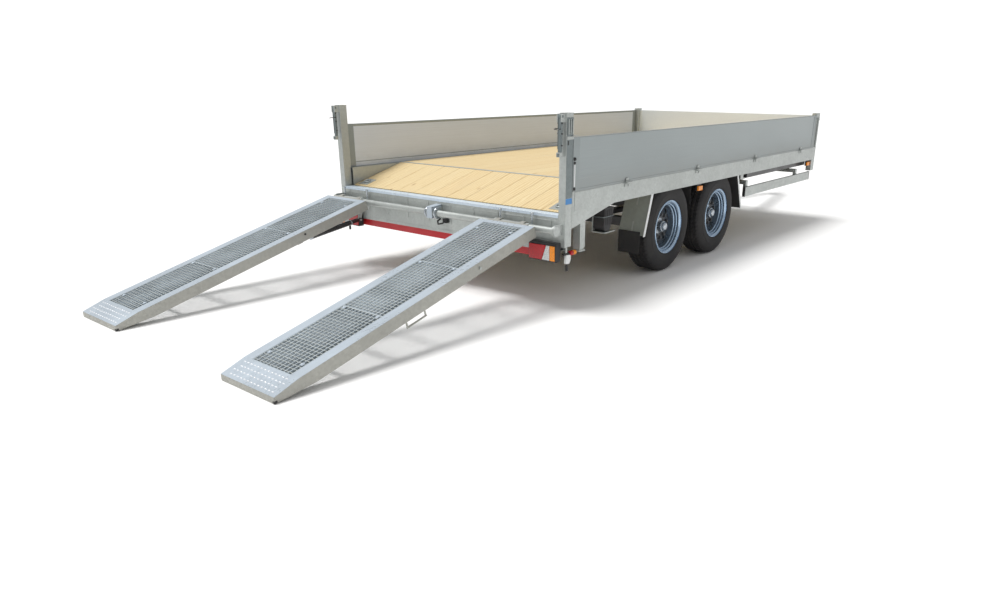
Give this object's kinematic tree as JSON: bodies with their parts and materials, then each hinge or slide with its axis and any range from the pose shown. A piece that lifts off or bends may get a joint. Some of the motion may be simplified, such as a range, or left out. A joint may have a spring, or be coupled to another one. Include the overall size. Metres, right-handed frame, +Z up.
{
  "type": "flat bed trailer with loading ramps",
  "caption": "Tandem-axle flat bed trailer with plank deck, sloped tail, drop sides, sliding swing-up loading ramps, rigid drawbar with towing eye, crank leg and prop legs.",
  "frame": {"origin": "centre of the overall box at ground level, ramps lowered", "axes": "+X forwards to the towing eye, +Y to the trailer's left, +Z up; the wheels and the crank leg stand on z = 0"},
  "size_m": [9.6, 2.604, 1.405],
  "materials": {
    "galvanised": "dull hot-dip galvanised",
    "pine": "sawn pine",
    "side_sheet": "dull weathered sheet",
    "chassis_paint": "satin black",
    "grating_steel": "dull grating",
    "strut_paint": "gloss black",
    "red_paint": "satin red",
    "lamp_red": "clear gloss",
    "lamp_amber": "clear gloss",
    "black_plastic": "matte",
    "flap_rubber": "matte",
    "tyre_rubber": "matte",
    "rim_silver": "silver satin"
  },
  "bodies": {
    "chassis": {"outer_frame": "galvanised", "tail_frame": "galvanised", "cross_members": "galvanised", "main_beams": "galvanised", "rear_beam": "galvanised", "rear_posts": "galvanised", "front_posts": "galvanised", "deck_planks": "pine", "slope_planks": "pine", "kink_strip": "galvanised", "lashing_points": "galvanised", "front_board": "side_sheet", "drawbar": "galvanised", "towing_eye": "chassis_paint", "axle_beams": "chassis_paint", "leaf_springs": "chassis_paint", "spring_hangers": "chassis_paint", "ramp_shaft": "galvanised", "shaft_brackets": "galvanised", "board_hinge_brackets": "galvanised", "underrun_bar": "red_paint", "rear_lamps": "lamp_red", "marker_lamps": "lamp_amber", "guard_panels": "black_plastic", "mud_flaps": "flap_rubber", "side_guards": "galvanised", "chock_holders": "galvanised", "leg_tube": "chassis_paint"},
    "leg_ram": {"leg_ram": "galvanised"},
    "leg_crank": {"leg_crank": "chassis_paint"},
    "left_carriage": {"left_slide_bush": "galvanised"},
    "left_ramp": {"left_ramp_frame": "galvanised", "left_ramp_grating": "grating_steel"},
    "left_strut": {"left_strut_tube": "strut_paint"},
    "left_rod": {"left_strut_rod": "galvanised"},
    "left_side": {"left_board": "side_sheet", "left_board_hinges": "galvanised"},
    "left_board_catch": {"left_board_latch": "galvanised"},
    "left_ramp_catch": {"left_post_latch": "galvanised"},
    "left_prop": {"left_prop_leg": "galvanised"},
    "left_wheel_chock": {"left_chock": "black_plastic"},
    "left_rear_wheel": {"left_rear_tyre": "tyre_rubber", "left_rear_rim": "rim_silver"},
    "left_front_wheel": {"left_front_tyre": "tyre_rubber", "left_front_rim": "rim_silver"},
    "right_carriage": {"right_slide_bush": "galvanised"},
    "right_ramp": {"right_ramp_frame": "galvanised", "right_ramp_grating": "grating_steel"},
    "right_strut": {"right_strut_tube": "strut_paint"},
    "right_rod": {"right_strut_rod": "galvanised"},
    "right_side": {"right_board": "side_sheet", "right_board_hinges": "galvanised"},
    "right_board_catch": {"right_board_latch": "galvanised"},
    "right_ramp_catch": {"right_post_latch": "galvanised"},
    "right_prop": {"right_prop_leg": "galvanised"},
    "right_wheel_chock": {"right_chock": "black_plastic"},
    "right_rear_wheel": {"right_rear_tyre": "tyre_rubber", "right_rear_rim": "rim_silver"},
    "right_front_wheel": {"right_front_tyre": "tyre_rubber", "right_front_rim": "rim_silver"}
  },
  "joints": [
    {"name": "leg_height", "type": "slide", "parent": "chassis", "child": "leg_ram", "axis": [0, 0, 1], "range_m": [0, 0.3]},
    {"name": "leg_crank_turn", "type": "hinge", "parent": "chassis", "child": "leg_crank", "pos_m": [3.0755, 0.26, 0.8], "axis": [1, 0, 0], "continuous": true},
    {"name": "left_ramp_spread", "type": "slide", "parent": "chassis", "child": "left_carriage", "axis": [0, 1, 0], "range_m": [-0.637, 0]},
    {"name": "left_ramp_lift", "type": "hinge", "parent": "left_carriage", "child": "left_ramp", "pos_m": [-2.55, 1.037, 0.6], "axis": [0, 1, 0], "range_deg": [0, 95]},
    {"name": "left_strut_swing", "type": "hinge", "parent": "left_carriage", "child": "left_strut", "pos_m": [-2.605, 0.887, 0.45], "axis": [0, 1, 0], "range_deg": [0, 92.15]},
    {"name": "left_strut_extend", "type": "slide", "parent": "left_strut", "child": "left_rod", "axis": [-0.9892, 0, -0.1468], "range_m": [0, 0.2322]},
    {"name": "left_side_drop", "type": "hinge", "parent": "chassis", "child": "left_side", "pos_m": [0, 1.29, 0.862], "axis": [-1, 0, 0], "range_deg": [0, 180]},
    {"name": "left_board_catch_turn", "type": "hinge", "parent": "chassis", "child": "left_board_catch", "pos_m": [2.68, 1.284, 1.2], "axis": [0, -1, 0], "range_deg": [0, 110]},
    {"name": "left_ramp_catch_turn", "type": "hinge", "parent": "chassis", "child": "left_ramp_catch", "pos_m": [-2.509, 1.244, 1.383], "axis": [0, 1, 0], "range_deg": [0, 12]},
    {"name": "left_prop_drop", "type": "slide", "parent": "chassis", "child": "left_prop", "axis": [0, 0, -1], "range_m": [0, 0.33]},
    {"name": "left_chock_out", "type": "slide", "parent": "chassis", "child": "left_wheel_chock", "axis": [0, 1, 0], "range_m": [0, 0.06]},
    {"name": "left_rear_wheel_spin", "type": "hinge", "parent": "chassis", "child": "left_rear_wheel", "pos_m": [-0.876, 1.1425, 0.393], "axis": [0, 1, 0], "continuous": true},
    {"name": "left_front_wheel_spin", "type": "hinge", "parent": "chassis", "child": "left_front_wheel", "pos_m": [0.086, 1.1425, 0.393], "axis": [0, 1, 0], "continuous": true},
    {"name": "right_ramp_spread", "type": "slide", "parent": "chassis", "child": "right_carriage", "axis": [0, 1, 0], "range_m": [-0.196, 0.441]},
    {"name": "right_ramp_lift", "type": "hinge", "parent": "right_carriage", "child": "right_ramp", "pos_m": [-2.55, -0.841, 0.6], "axis": [0, 1, 0], "range_deg": [0, 95]},
    {"name": "right_strut_swing", "type": "hinge", "parent": "right_carriage", "child": "right_strut", "pos_m": [-2.605, -0.691, 0.45], "axis": [0, 1, 0], "range_deg": [0, 92.15]},
    {"name": "right_strut_extend", "type": "slide", "parent": "right_strut", "child": "right_rod", "axis": [-0.9892, 0, -0.1468], "range_m": [0, 0.2322]},
    {"name": "right_side_drop", "type": "hinge", "parent": "chassis", "child": "right_side", "pos_m": [0, -1.29, 0.862], "axis": [1, 0, 0], "range_deg": [0, 180]},
    {"name": "right_board_catch_turn", "type": "hinge", "parent": "chassis", "child": "right_board_catch", "pos_m": [2.68, -1.284, 1.2], "axis": [0, -1, 0], "range_deg": [0, 110]},
    {"name": "right_ramp_catch_turn", "type": "hinge", "parent": "chassis", "child": "right_ramp_catch", "pos_m": [-2.509, -1.244, 1.383], "axis": [0, 1, 0], "range_deg": [0, 12]},
    {"name": "right_prop_drop", "type": "slide", "parent": "chassis", "child": "right_prop", "axis": [0, 0, -1], "range_m": [0, 0.33]},
    {"name": "right_chock_out", "type": "slide", "parent": "chassis", "child": "right_wheel_chock", "axis": [0, -1, 0], "range_m": [0, 0.06]},
    {"name": "right_rear_wheel_spin", "type": "hinge", "parent": "chassis", "child": "right_rear_wheel", "pos_m": [-0.876, -1.1425, 0.393], "axis": [0, 1, 0], "continuous": true},
    {"name": "right_front_wheel_spin", "type": "hinge", "parent": "chassis", "child": "right_front_wheel", "pos_m": [0.086, -1.1425, 0.393], "axis": [0, 1, 0], "continuous": true}
  ],
  "couplings": [
    {"joint": "left_strut_swing", "follows": "left_ramp_lift", "ratio": 0.97},
    {"joint": "left_strut_extend", "follows": "left_ramp_lift", "m_per_rad": 0.14},
    {"joint": "right_strut_swing", "follows": "right_ramp_lift", "ratio": 0.97},
    {"joint": "right_strut_extend", "follows": "right_ramp_lift", "m_per_rad": 0.14}
  ]
}
